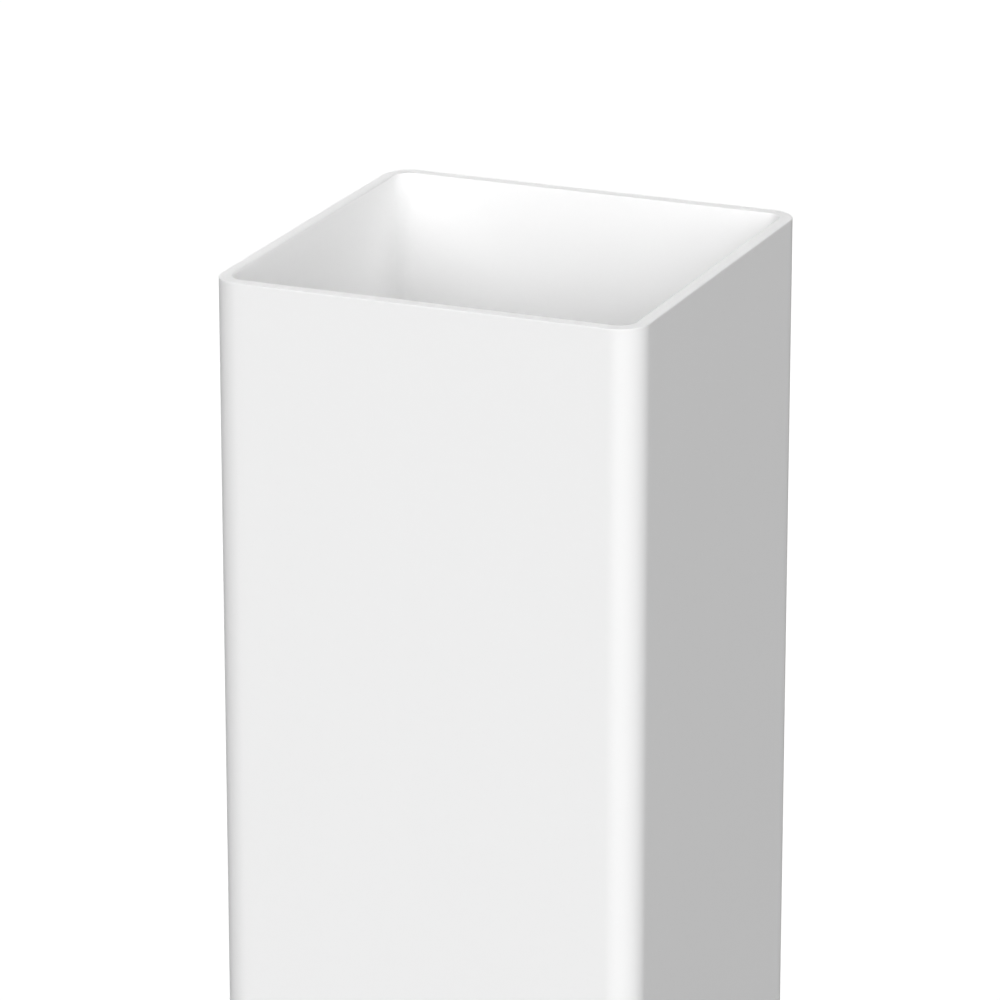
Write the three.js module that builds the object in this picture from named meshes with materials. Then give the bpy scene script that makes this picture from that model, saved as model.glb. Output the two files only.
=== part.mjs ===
// A hollow square fence post of extruded white vinyl, cut square at both ends.
// Millimetres, +Z up. The origin is the middle of the lower cut end, at ground level,
// and the front face looks along -Y.
import * as THREE from 'three';

// Driving dimensions
const POST_WIDTH = 127.0; // across the flats, 5 in
const WALL_THICKNESS = 3.81; // 0.15 in
const POST_HEIGHT = 1219.2; // ground to cut top, 48 in
const OUTER_CORNER_RADIUS = 8.7; // about 11/32 in
const LIP_RADIUS = 0.3; // both edges of each cut end are eased

// Worked-out dimensions
const BORE_WIDTH = POST_WIDTH - 2 * WALL_THICKNESS;
const INNER_CORNER_RADIUS = OUTER_CORNER_RADIUS - WALL_THICKNESS; // the wall is as thick at the corners

// Facets
const SEGMENTS_PER_CORNER = 16;
const SEGMENTS_PER_LIP = 2;

const vinyl = new THREE.MeshStandardMaterial({ color: 0xf4f4f2, roughness: 0.45, metalness: 0 });

// Draws a square with rounded corners on a path, anticlockwise round the origin.
function drawRoundedSquare(path, width, radius) {
  const cornerCentre = width / 2 - radius;
  for (let corner = 0; corner < 4; corner++) {
    const start = corner * (Math.PI / 2);
    const middle = start + Math.PI / 4;
    const x = Math.sign(Math.cos(middle)) * cornerCentre;
    const y = Math.sign(Math.sin(middle)) * cornerCentre;
    path.absarc(x, y, radius, start, start + Math.PI / 2, false);
  }
  path.closePath();
  return path;
}

// The section that comes out of the extrusion die: a rounded square with a rounded square bore.
function postSection() {
  const section = drawRoundedSquare(new THREE.Shape(), POST_WIDTH, OUTER_CORNER_RADIUS);
  section.holes.push(drawRoundedSquare(new THREE.Path(), BORE_WIDTH, INNER_CORNER_RADIUS));
  return section;
}

// The section run up to the post's height. The bevel turns inwards, so it eases the cut ends'
// edges without adding to the width.
function postGeometry() {
  const geometry = new THREE.ExtrudeGeometry(postSection(), {
    depth: POST_HEIGHT - 2 * LIP_RADIUS,
    curveSegments: SEGMENTS_PER_CORNER / 2, // an arc is drawn with two segments for each one asked for
    bevelEnabled: true,
    bevelThickness: LIP_RADIUS,
    bevelSize: LIP_RADIUS,
    bevelOffset: -LIP_RADIUS,
    bevelSegments: SEGMENTS_PER_LIP,
  });
  return geometry.translate(0, 0, LIP_RADIUS);
}

const post = new THREE.Mesh(postGeometry(), vinyl);
post.name = 'fence_post';

const fencePost = new THREE.Group();
fencePost.add(post);

export default fencePost;
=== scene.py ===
"""A hollow square fence post of white extruded vinyl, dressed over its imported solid.

The post is one piece. Its wall's section, a tall thin rectangle with eased corners, is swept round a square
path with rounded corners, so the outside, the bore and both cut ends are one closed surface.
"""

import logging
import math
from collections.abc import Mapping
from dataclasses import dataclass
from enum import Enum
from typing import Any

import bpy
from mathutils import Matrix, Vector


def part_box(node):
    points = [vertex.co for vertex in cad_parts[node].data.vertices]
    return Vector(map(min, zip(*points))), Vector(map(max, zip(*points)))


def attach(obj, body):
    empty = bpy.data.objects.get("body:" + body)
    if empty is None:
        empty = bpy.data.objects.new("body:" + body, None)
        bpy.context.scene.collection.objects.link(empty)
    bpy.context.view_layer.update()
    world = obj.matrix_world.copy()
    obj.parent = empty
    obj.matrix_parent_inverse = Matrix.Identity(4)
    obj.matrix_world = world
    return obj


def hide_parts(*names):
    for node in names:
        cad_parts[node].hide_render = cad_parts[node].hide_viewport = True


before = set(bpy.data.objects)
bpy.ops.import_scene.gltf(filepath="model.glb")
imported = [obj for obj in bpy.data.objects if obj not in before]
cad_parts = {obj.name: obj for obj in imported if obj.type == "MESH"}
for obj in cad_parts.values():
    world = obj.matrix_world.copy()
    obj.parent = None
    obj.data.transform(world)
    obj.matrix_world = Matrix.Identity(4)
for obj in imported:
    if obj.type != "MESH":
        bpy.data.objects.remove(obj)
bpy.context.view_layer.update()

MILLIMETRE = 0.001
QUARTER_TURN = math.pi / 2

log = logging.getLogger("fence_post")


@dataclass(frozen=True)
class Number:
    """A node socket that carries a number. Arithmetic on it adds Math nodes to its tree."""

    writer: "NodeWriter"
    socket: bpy.types.NodeSocket

    def __add__(self, other: "Amount") -> "Number":
        """The sum."""
        return self.writer.math("ADD", self, other)

    def __radd__(self, other: float) -> "Number":
        """The sum, with a plain number first."""
        return self.writer.math("ADD", other, self)

    def __sub__(self, other: "Amount") -> "Number":
        """The difference."""
        return self.writer.math("SUBTRACT", self, other)

    def __rsub__(self, other: float) -> "Number":
        """The difference, with a plain number first."""
        return self.writer.math("SUBTRACT", other, self)

    def __mul__(self, other: "Amount") -> "Number":
        """The product."""
        return self.writer.math("MULTIPLY", self, other)

    def __rmul__(self, other: float) -> "Number":
        """The product, with a plain number first."""
        return self.writer.math("MULTIPLY", other, self)

    def __truediv__(self, other: "Amount") -> "Number":
        """The quotient."""
        return self.writer.math("DIVIDE", self, other)

    def __rtruediv__(self, other: float) -> "Number":
        """The quotient, with a plain number first."""
        return self.writer.math("DIVIDE", other, self)

    def __abs__(self) -> "Number":
        """The size without the sign."""
        return self.writer.math("ABSOLUTE", self)

    def cosine(self) -> "Number":
        """The cosine of an angle in radians."""
        return self.writer.math("COSINE", self)

    def sine(self) -> "Number":
        """The sine of an angle in radians."""
        return self.writer.math("SINE", self)

    def sign(self) -> "Number":
        """Minus one, nought or one."""
        return self.writer.math("SIGN", self)

    def whole(self) -> "Number":
        """The whole number at or below this one."""
        return self.writer.math("FLOOR", self)

    def larger(self, other: "Amount") -> "Number":
        """The larger of the two."""
        return self.writer.math("MAXIMUM", self, other)

    def above(self, other: "Amount") -> "Number":
        """One where this is above the other, and nought elsewhere."""
        return self.writer.math("GREATER_THAN", self, other)

    def held(self) -> "Number":
        """The number held between nought and one."""
        return self.writer.math("MINIMUM", self.larger(0.0), 1.0)


Amount = float | Number


@dataclass(frozen=True)
class NodeWriter:
    """Writes nodes into one shader, world or geometry tree."""

    tree: bpy.types.NodeTree

    def node(
        self,
        kind: str,
        settings: Mapping[str, Any] | None = None,
        inputs: Mapping[str | int, Any] | None = None,
    ) -> bpy.types.Node:
        """Adds a node.

        Args:
            kind: the node's type name.
            settings: the node's own properties, which are set first.
            inputs: a value, Number or socket for each input, by its name or place.

        Returns:
            The new node.
        """
        made = self.tree.nodes.new(kind)
        for name, value in (settings or {}).items():
            setattr(made, name, value)
        for key, value in (inputs or {}).items():
            self.feed(made.inputs[key], value)
        return made

    def feed(self, socket: bpy.types.NodeSocket, value: Any) -> None:
        """Links a Number or socket to an input, or sets a plain value on it.

        Args:
            socket: the input.
            value: the Number, socket or plain value that it gets.
        """
        if isinstance(value, Number):
            self.tree.links.new(value.socket, socket)
        elif isinstance(value, bpy.types.NodeSocket):
            self.tree.links.new(value, socket)
        else:
            socket.default_value = value

    def math(self, operation: str, *values: Amount) -> Number:
        """Adds a Math node on one or two values and returns its result."""
        made = self.node("ShaderNodeMath", {"operation": operation}, dict(enumerate(values)))
        return Number(self, made.outputs[0])

    def vector(self, x: Amount, y: Amount, z: Amount) -> bpy.types.NodeSocket:
        """Joins three numbers into a vector."""
        return self.node("ShaderNodeCombineXYZ", inputs={"X": x, "Y": y, "Z": z}).outputs["Vector"]

    def parts(self, vector: bpy.types.NodeSocket) -> tuple[Number, Number, Number]:
        """Splits a vector into its three numbers."""
        split = self.node("ShaderNodeSeparateXYZ", inputs={"Vector": vector})
        return tuple(Number(self, split.outputs[axis]) for axis in "XYZ")


@dataclass(frozen=True)
class PostTube:
    """The post's tube: sizes in metres, the nodes that sweep its wall, and its finished mesh.

    Attributes:
        width: across the flats, outside.
        height: from the ground to the cut top.
        wall: the wall's thickness.
        corner_radius: of the outer corners.
        lip_radius: of the eased edges of the cut ends.
        corner_steps: facets round each corner.
        lip_steps: facets round each eased edge.
        corner_margin: the narrow strip of a flat beside each corner that keeps the rest of it flat.
        lip_margin: the same, beside each eased edge.
    """

    width: float
    height: float
    wall: float = 3.81 * MILLIMETRE
    corner_radius: float = 8.7 * MILLIMETRE
    lip_radius: float = 0.3 * MILLIMETRE
    corner_steps: int = 24
    lip_steps: int = 4
    corner_margin: float = 1.0 * MILLIMETRE
    lip_margin: float = 0.15 * MILLIMETRE

    NODE = "fence_post"
    SLOT = "white_vinyl"
    PIECE = "post_tube"
    CORNER_COUNT = 4

    @classmethod
    def from_frame(cls) -> "PostTube":
        """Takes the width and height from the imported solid.

        Returns:
            The tube at that size.
        """
        low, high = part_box(cls.NODE)
        size = high - low
        return cls(width=size.x, height=size.z)

    def inputs(self) -> dict[str, float | int]:
        """Names the sizes that the sweep's tree takes.

        Returns:
            This tube's size for each input, by the input's name.
        """
        return {
            "Width": self.width,
            "Height": self.height,
            "Wall": self.wall,
            "Corner Radius": self.corner_radius,
            "Lip Radius": self.lip_radius,
            "Corner Steps": self.corner_steps,
            "Lip Steps": self.lip_steps,
            "Corner Margin": self.corner_margin,
            "Lip Margin": self.lip_margin,
        }

    @classmethod
    def rounded_outline(
        cls,
        writer: NodeWriter,
        across: Number,
        along: Number,
        radius: Number,
        steps: Number,
        margin: Number,
    ) -> bpy.types.NodeSocket:
        """Draws a closed rectangle with rounded corners round the origin, anticlockwise.

        Each corner is an arc with one further point on the straight beyond either end of it.

        Args:
            writer: the geometry tree's writer.
            across: the outline's size along X.
            along: the outline's size along Y.
            radius: of the corners.
            steps: straight steps in each corner's arc.
            margin: how far the further points lie from the arc.

        Returns:
            The curve's socket.
        """
        arc_points = steps + 1
        per_corner = arc_points + 2
        points = writer.node("GeometryNodeMeshLine", inputs={"Count": cls.CORNER_COUNT * per_corner})
        thread = writer.node("GeometryNodeMeshToCurve", inputs={"Mesh": points.outputs[0]})
        index = Number(writer, writer.node("GeometryNodeInputIndex").outputs[0])
        corner = (index / per_corner).whole()
        # Points are counted anew at each corner: nought before the arc, then the arc's, then one past it.
        count = index - corner * per_corner
        angle = (corner + ((count - 1) / steps).held()) * QUARTER_TURN
        diagonal = (corner + 0.5) * QUARTER_TURN
        past_end = count.above(arc_points)
        before_start = 1 - count.above(0.0)
        stray = margin * (past_end - before_start)
        centre_x = diagonal.cosine().sign() * (across / 2 - radius)
        centre_y = diagonal.sine().sign() * (along / 2 - radius)
        x = centre_x + radius * angle.cosine() - stray * angle.sine()
        y = centre_y + radius * angle.sine() + stray * angle.cosine()
        placed = writer.node(
            "GeometryNodeSetPosition",
            inputs={"Geometry": thread.outputs[0], "Position": writer.vector(x, y, 0.0)},
        )
        closed = writer.node(
            "GeometryNodeSetSplineCyclic", inputs={"Geometry": placed.outputs[0], "Cyclic": True}
        )
        return closed.outputs[0]

    def sweep_tree(self) -> bpy.types.NodeTree:
        """Makes the geometry tree that sweeps the wall's section round the post.

        Returns:
            The tree, with a named input for each size and for the material.
        """
        tree = bpy.data.node_groups.new("post_sweep", "GeometryNodeTree")
        tree.interface.new_socket("Tube", in_out="OUTPUT", socket_type="NodeSocketGeometry")
        for name, size in self.inputs().items():
            kind = "NodeSocketInt" if isinstance(size, int) else "NodeSocketFloat"
            tree.interface.new_socket(name, in_out="INPUT", socket_type=kind)
        tree.interface.new_socket("Material", in_out="INPUT", socket_type="NodeSocketMaterial")

        writer = NodeWriter(tree)
        given = writer.node("NodeGroupInput").outputs
        size = {name: Number(writer, given[name]) for name in self.inputs()}
        middle = size["Width"] - size["Wall"]
        path = self.rounded_outline(
            writer,
            across=middle,
            along=middle,
            radius=size["Corner Radius"] - size["Wall"] / 2,
            steps=size["Corner Steps"],
            margin=size["Corner Margin"],
        )
        section = self.rounded_outline(
            writer,
            across=size["Wall"],
            along=size["Height"],
            radius=size["Lip Radius"],
            steps=size["Lip Steps"],
            margin=size["Lip Margin"],
        )
        swept = writer.node("GeometryNodeCurveToMesh", inputs={"Curve": path, "Profile Curve": section})
        lift = writer.vector(0.0, 0.0, size["Height"] / 2)
        raised = writer.node(
            "GeometryNodeTransform", inputs={"Geometry": swept.outputs[0], "Translation": lift}
        )
        smooth = writer.node("GeometryNodeSetShadeSmooth", inputs={"Geometry": raised.outputs[0]})
        real = writer.node("GeometryNodeRealizeInstances", inputs={"Geometry": smooth.outputs[0]})
        dressed = writer.node(
            "GeometryNodeSetMaterial", inputs={"Geometry": real.outputs[0], "Material": given["Material"]}
        )
        writer.node("NodeGroupOutput", inputs={"Tube": dressed.outputs[0]})
        return tree

    def build(self, material: bpy.types.Material) -> bpy.types.Object:
        """Makes the tube as a plain mesh at the origin.

        Args:
            material: the finish that the whole tube wears.

        Returns:
            The tube's object, with no modifier left on it.
        """
        tube = bpy.data.objects.new(self.PIECE, bpy.data.meshes.new(self.PIECE))
        bpy.context.scene.collection.objects.link(tube)
        sweep = tube.modifiers.new("sweep", "NODES")
        sweep.node_group = self.sweep_tree()
        sockets = sweep.node_group.interface.items_tree
        identifiers = {socket.name: socket.identifier for socket in sockets if socket.in_out == "INPUT"}
        for name, size in self.inputs().items():
            sweep[identifiers[name]] = size
        sweep[identifiers["Material"]] = material
        depsgraph = bpy.context.evaluated_depsgraph_get()
        mesh = bpy.data.meshes.new_from_object(tube.evaluated_get(depsgraph), depsgraph=depsgraph)
        tube.modifiers.remove(sweep)
        tube.data = mesh
        mesh.name = self.PIECE
        return tube

    def place(self, tube: bpy.types.Object) -> None:
        """Sets the tube in the frame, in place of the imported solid.

        Args:
            tube: the tube's object.
        """
        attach(tube, "root")
        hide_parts(self.NODE)


class Pattern(Enum):
    """The vinyl's surface patterns, each with its repeats per metre along X, Y and Z."""

    PEEL = (300.0, 300.0, 300.0)
    DIE_LINES = (420.0, 420.0, 1.5)
    CLOUDING = (12.0, 12.0, 5.0)


@dataclass(frozen=True)
class VinylFinish:
    """White rigid vinyl: satin from the die, duller in the bore and on the saw-cut ends.

    Attributes:
        white: the vinyl's colour.
        clouded_white: its colour where the clouding is deepest.
        refraction: the vinyl's refractive index.
        roughness: of the outside.
        bore_roughness: added inside the bore.
        bore_start: how far through the wall the bore's finish starts, as a share of its thickness.
        cut_roughness: added on the cut ends.
        line_roughness: how far the die lines vary it.
        noise_detail: finer layers in each pattern's noise.
        peel_height: of the fine orange peel, in metres.
        line_height: of the lines that the die leaves along the post.
        saw_height: of the saw marks.
        saw_pitch: from one saw mark to the next.
        saw_centre: where the blade's spindle passed, which the marks curve round.
    """

    white: tuple[float, float, float] = (0.94, 0.94, 0.94)
    clouded_white: tuple[float, float, float] = (0.928, 0.928, 0.928)
    refraction: float = 1.53
    roughness: float = 0.42
    bore_roughness: float = 0.08
    bore_start: float = 0.8
    cut_roughness: float = 0.2
    line_roughness: float = 0.1
    noise_detail: float = 2.0
    peel_height: float = 0.06 * MILLIMETRE
    line_height: float = 0.01 * MILLIMETRE
    saw_height: float = 0.02 * MILLIMETRE
    saw_pitch: float = 1.3 * MILLIMETRE
    saw_centre: tuple[float, float, float] = (-0.19, -0.11, 0.0)

    NOISE_MEAN = 0.5
    ALONG_THE_CUT = (1.0, 1.0, 0.0)

    def pattern(self, writer: NodeWriter, position: bpy.types.NodeSocket, which: Pattern) -> Number:
        """Adds the noise of one surface pattern.

        Args:
            writer: the material's writer.
            position: the Object coordinates.
            which: the pattern.

        Returns:
            The noise, about one half on the whole.
        """
        stretched = writer.node(
            "ShaderNodeMapping", {"vector_type": "POINT"}, {"Vector": position, "Scale": which.value}
        )
        noise = writer.node(
            "ShaderNodeTexNoise",
            inputs={"Vector": stretched.outputs[0], "Scale": 1.0, "Detail": self.noise_detail},
        )
        return Number(writer, noise.outputs[0])

    def saw_marks(self, writer: NodeWriter, position: bpy.types.NodeSocket) -> Number:
        """Adds the ridges that the blade leaves on a cut end, in arcs round its spindle.

        Args:
            writer: the material's writer.
            position: the Object coordinates.

        Returns:
            The ridges, from nought to one.
        """
        level = writer.node(
            "ShaderNodeVectorMath", {"operation": "MULTIPLY"}, {0: position, 1: self.ALONG_THE_CUT}
        )
        reach = writer.node(
            "ShaderNodeVectorMath", {"operation": "DISTANCE"}, {0: level.outputs[0], 1: self.saw_centre}
        )
        turns = Number(writer, reach.outputs["Value"]) * (math.tau / self.saw_pitch)
        return 0.5 + 0.5 * turns.sine()

    def material(self, post: PostTube) -> bpy.types.Material:
        """Makes the vinyl for a tube.

        Args:
            post: the tube, whose sizes say where the bore and the cut ends are.

        Returns:
            The material.
        """
        made = bpy.data.materials.new("satin_vinyl")
        made.use_nodes = True
        made.node_tree.nodes.clear()
        writer = NodeWriter(made.node_tree)
        position = writer.node("ShaderNodeTexCoord").outputs["Object"]
        x, y, z = writer.parts(position)

        # Where each finish lies: the cut ends come in over the eased edges, and the bore within the wall.
        half_height = post.height / 2
        cut = ((abs(z - half_height) - (half_height - post.lip_radius)) / post.lip_radius).held()
        bore_edge = post.width / 2 - self.bore_start * post.wall
        bore = (bore_edge - abs(x).larger(abs(y))).above(0.0)

        peel = self.pattern(writer, position, Pattern.PEEL)
        lines = self.pattern(writer, position, Pattern.DIE_LINES)
        clouds = self.pattern(writer, position, Pattern.CLOUDING)
        marks = self.saw_marks(writer, position)
        white = writer.node(
            "ShaderNodeMix",
            {"data_type": "RGBA"},
            {"Factor": clouds, "A": (*self.white, 1.0), "B": (*self.clouded_white, 1.0)},
        )
        roughness = self.roughness + self.line_roughness * (lines - self.NOISE_MEAN)
        roughness = roughness + self.bore_roughness * bore + self.cut_roughness * cut
        # The heights are in metres, so the bump takes them as they are.
        skin = self.peel_height * peel + self.line_height * lines
        height = (1 - cut) * skin + (self.saw_height * cut) * marks
        bump = writer.node("ShaderNodeBump", inputs={"Strength": 1.0, "Distance": 1.0, "Height": height})
        shader = writer.node(
            "ShaderNodeBsdfPrincipled",
            inputs={
                "Base Color": white.outputs["Result"],
                "Roughness": roughness,
                "IOR": self.refraction,
                "Normal": bump.outputs[0],
            },
        )
        writer.node("ShaderNodeOutputMaterial", inputs={"Surface": shader.outputs[0]})
        return made


def towards(azimuth_deg: float, elevation_deg: float) -> Vector:
    """Works out a direction from the post.

    Args:
        azimuth_deg: round from the front, at -Y, towards the right.
        elevation_deg: above the horizon.

    Returns:
        The unit vector that points that way.
    """
    azimuth = math.radians(azimuth_deg)
    elevation = math.radians(elevation_deg)
    level = math.cos(elevation)
    return Vector((math.sin(azimuth) * level, -math.cos(azimuth) * level, math.sin(elevation)))


@dataclass(frozen=True)
class SoftLight:
    """A large soft lamp, so far off that it lights the whole post alike.

    Attributes:
        name: what the lamp is called.
        azimuth_deg: round from the front towards the right.
        elevation_deg: above the horizon.
        strength: in watts on each square metre that faces the lamp.
        spread_deg: how wide the lamp looks from the post.
    """

    name: str
    azimuth_deg: float
    elevation_deg: float
    strength: float
    spread_deg: float = 30.0

    def build(self) -> None:
        """Makes the lamp, shining at the post."""
        data = bpy.data.lights.new(self.name, "SUN")
        data.energy = self.strength
        data.angle = math.radians(self.spread_deg)
        lamp = bpy.data.objects.new(self.name, data)
        lamp.rotation_mode = "QUATERNION"
        lamp.rotation_quaternion = towards(self.azimuth_deg, self.elevation_deg).to_track_quat("Z", "Y")
        bpy.context.scene.collection.objects.link(lamp)


@dataclass(frozen=True)
class Studio:
    """The white studio: a pale floor that runs out of sight, dim air and soft lamps.

    Attributes:
        floor_reach: from the post to the floor's edge.
        air_light: what the air sheds on the post from all round.
        backdrop_light: how bright the air looks itself.
        floor_glow: how bright the floor looks before the lamps light it.
        floor_white: how much of the lamps' light the floor shows to the eye.
        floor_bounce: how much of it the floor sends back up to the post.
        diffuse_bounces: how often light is passed on between white walls.
        lamps: the soft lamps.
    """

    floor_reach: float = 60.0
    air_light: float = 0.09
    backdrop_light: float = 1.0
    floor_glow: float = 0.64
    floor_white: float = 0.6
    floor_bounce: float = 0.13
    diffuse_bounces: int = 12
    lamps: tuple[SoftLight, ...] = (
        SoftLight("front", azimuth_deg=20.0, elevation_deg=10.0, strength=1.54),
        SoftLight("upper_front", azimuth_deg=-10.0, elevation_deg=25.0, strength=1.04),
        SoftLight("front_right", azimuth_deg=35.0, elevation_deg=35.0, strength=0.65),
        SoftLight("right", azimuth_deg=95.0, elevation_deg=25.0, strength=0.86),
        SoftLight("left", azimuth_deg=-110.0, elevation_deg=3.0, strength=1.15),
        SoftLight("back_left", azimuth_deg=-150.0, elevation_deg=10.0, strength=1.78),
    )

    def floor_material(self) -> bpy.types.Material:
        """Makes the floor's finish: bright to the eye, and a dim grey to what stands on it.

        Returns:
            The material.
        """
        made = bpy.data.materials.new("studio_floor")
        made.use_nodes = True
        made.node_tree.nodes.clear()
        writer = NodeWriter(made.node_tree)
        pale = (self.floor_white, self.floor_white, self.floor_white, 1.0)
        dim = (self.floor_bounce, self.floor_bounce, self.floor_bounce, 1.0)
        to_eye = writer.node("ShaderNodeBsdfDiffuse", inputs={"Color": pale})
        to_post = writer.node("ShaderNodeBsdfDiffuse", inputs={"Color": dim})
        glow = writer.node("ShaderNodeEmission", inputs={"Strength": self.floor_glow})
        bright = writer.node("ShaderNodeAddShader", inputs={0: to_eye.outputs[0], 1: glow.outputs[0]})
        seen = writer.node("ShaderNodeLightPath").outputs["Is Camera Ray"]
        either = writer.node(
            "ShaderNodeMixShader", inputs={0: seen, 1: to_post.outputs[0], 2: bright.outputs[0]}
        )
        writer.node("ShaderNodeOutputMaterial", inputs={"Surface": either.outputs[0]})
        return made

    def floor(self) -> None:
        """Makes the floor at ground level."""
        reach = self.floor_reach
        corners = [(-reach, -reach, 0.0), (reach, -reach, 0.0), (reach, reach, 0.0), (-reach, reach, 0.0)]
        mesh = bpy.data.meshes.new("studio_floor")
        mesh.from_pydata(corners, [], [(0, 1, 2, 3)])
        mesh.materials.append(self.floor_material())
        floor = bpy.data.objects.new("studio_floor", mesh)
        bpy.context.scene.collection.objects.link(floor)

    def air(self) -> None:
        """Makes the air round the post: white to the eye, and dim as light."""
        world = bpy.data.worlds.new("studio_air")
        world.use_nodes = True
        world.node_tree.nodes.clear()
        writer = NodeWriter(world.node_tree)
        seen = Number(writer, writer.node("ShaderNodeLightPath").outputs["Is Camera Ray"])
        strength = self.air_light + (self.backdrop_light - self.air_light) * seen
        white = (1.0, 1.0, 1.0, 1.0)
        sky = writer.node("ShaderNodeBackground", inputs={"Color": white, "Strength": strength})
        writer.node("ShaderNodeOutputWorld", inputs={"Surface": sky.outputs[0]})
        bpy.context.scene.world = world

    def build(self) -> None:
        """Sets up the floor, the air, the lamps and the plain tone curve."""
        self.air()
        self.floor()
        for lamp in self.lamps:
            lamp.build()
        bpy.context.scene.view_settings.view_transform = "Standard"
        bpy.context.scene.cycles.diffuse_bounces = self.diffuse_bounces


@dataclass(frozen=True)
class PhotoCamera:
    """The camera at the photograph's viewing angle, aimed below the post's cut top.

    Attributes:
        azimuth_deg: round from the front towards the right.
        elevation_deg: above the horizon.
        distance: from the camera to the point it aims at, in metres.
        lens_mm: the lens's focal length.
        sensor_mm: the sensor's width.
        aim_right: from the post's middle line to the aim, to the picture's right.
        aim_down: from the cut top down to the aim.
    """

    azimuth_deg: float = 22.78
    elevation_deg: float = 18.58
    distance: float = 1.7056
    lens_mm: float = 216.0
    sensor_mm: float = 36.0
    aim_right: float = -2.91 * MILLIMETRE
    aim_down: float = 75.21 * MILLIMETRE

    def build(self, post: PostTube) -> None:
        """Makes the camera and gives it to the scene.

        Args:
            post: the tube that the camera looks at.
        """
        back = towards(self.azimuth_deg, self.elevation_deg)
        right = Vector((-back.y, back.x, 0.0)).normalized()
        aim = right * self.aim_right + Vector((0.0, 0.0, post.height - self.aim_down))
        data = bpy.data.cameras.new("photo_camera")
        data.sensor_width = self.sensor_mm
        data.lens = self.lens_mm
        camera = bpy.data.objects.new("photo_camera", data)
        camera.rotation_mode = "QUATERNION"
        camera.location = aim + back * self.distance
        camera.rotation_quaternion = (-back).to_track_quat("-Z", "Y")
        bpy.context.scene.collection.objects.link(camera)
        bpy.context.scene.camera = camera


def main() -> None:
    """Builds the camera, the studio and the post."""
    logging.basicConfig(level=logging.INFO, format="%(name)s: %(message)s")
    post = PostTube.from_frame()
    PhotoCamera().build(post)
    Studio().build()
    tube = post.build(VinylFinish().material(post))
    post.place(tube)
    log.info("%s: %d faces, %.1f mm wide", tube.name, len(tube.data.polygons), post.width / MILLIMETRE)


if __name__ == "__main__":
    main()
